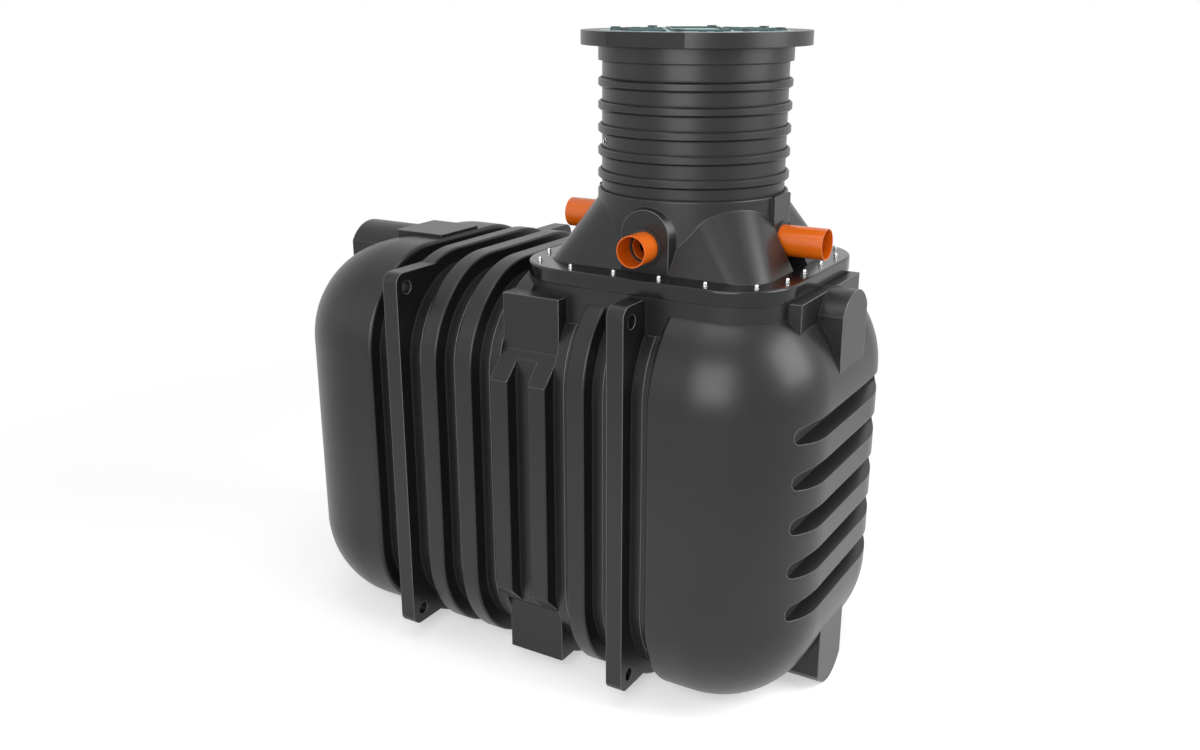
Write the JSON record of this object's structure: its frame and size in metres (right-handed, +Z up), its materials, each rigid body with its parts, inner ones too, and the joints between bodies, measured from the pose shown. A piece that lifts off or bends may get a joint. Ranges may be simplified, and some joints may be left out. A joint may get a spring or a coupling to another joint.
{
  "type": "rainwater tank",
  "caption": "Ribbed black plastic underground rainwater tank with a bolted access dome, drain pipe stubs and a ribbed shaft with a round lid.",
  "frame": {"origin": "middle of the tank's footprint on the plane it stands on", "axes": "+X along the tank towards the end under the shaft, -Y towards the long side with the front pipe, +Z up"},
  "size_m": [2.206, 1.21, 2.396],
  "materials": {
    "black_polyethylene": "satin moulded black polyethylene",
    "orange_pvc": "glossy extruded orange PVC",
    "black_rubber": "soft black rubber",
    "green_lid_plastic": "dark grey-green moulded lid",
    "stainless_steel": "bright stainless steel screws"
  },
  "bodies": {
    "root": {"dome": "black_polyethylene", "dome_plate": "black_polyethylene", "ear_hoop_left": "black_polyethylene", "ear_hoop_right": "black_polyethylene", "end_shell_left": "black_polyethylene", "end_shell_right": "black_polyethylene", "lid": "green_lid_plastic", "lid_frame": "black_polyethylene", "middle_hoop": "black_polyethylene", "neck": "black_polyethylene", "pipe_front": "orange_pvc", "pipe_left": "orange_pvc", "pipe_right": "orange_pvc", "rib_hoop_1": "black_polyethylene", "rib_hoop_2": "black_polyethylene", "rib_hoop_3": "black_polyethylene", "seal_front": "black_rubber", "seal_left": "black_rubber", "seal_right": "black_rubber", "shaft": "black_polyethylene"}
  },
  "joints": []
}
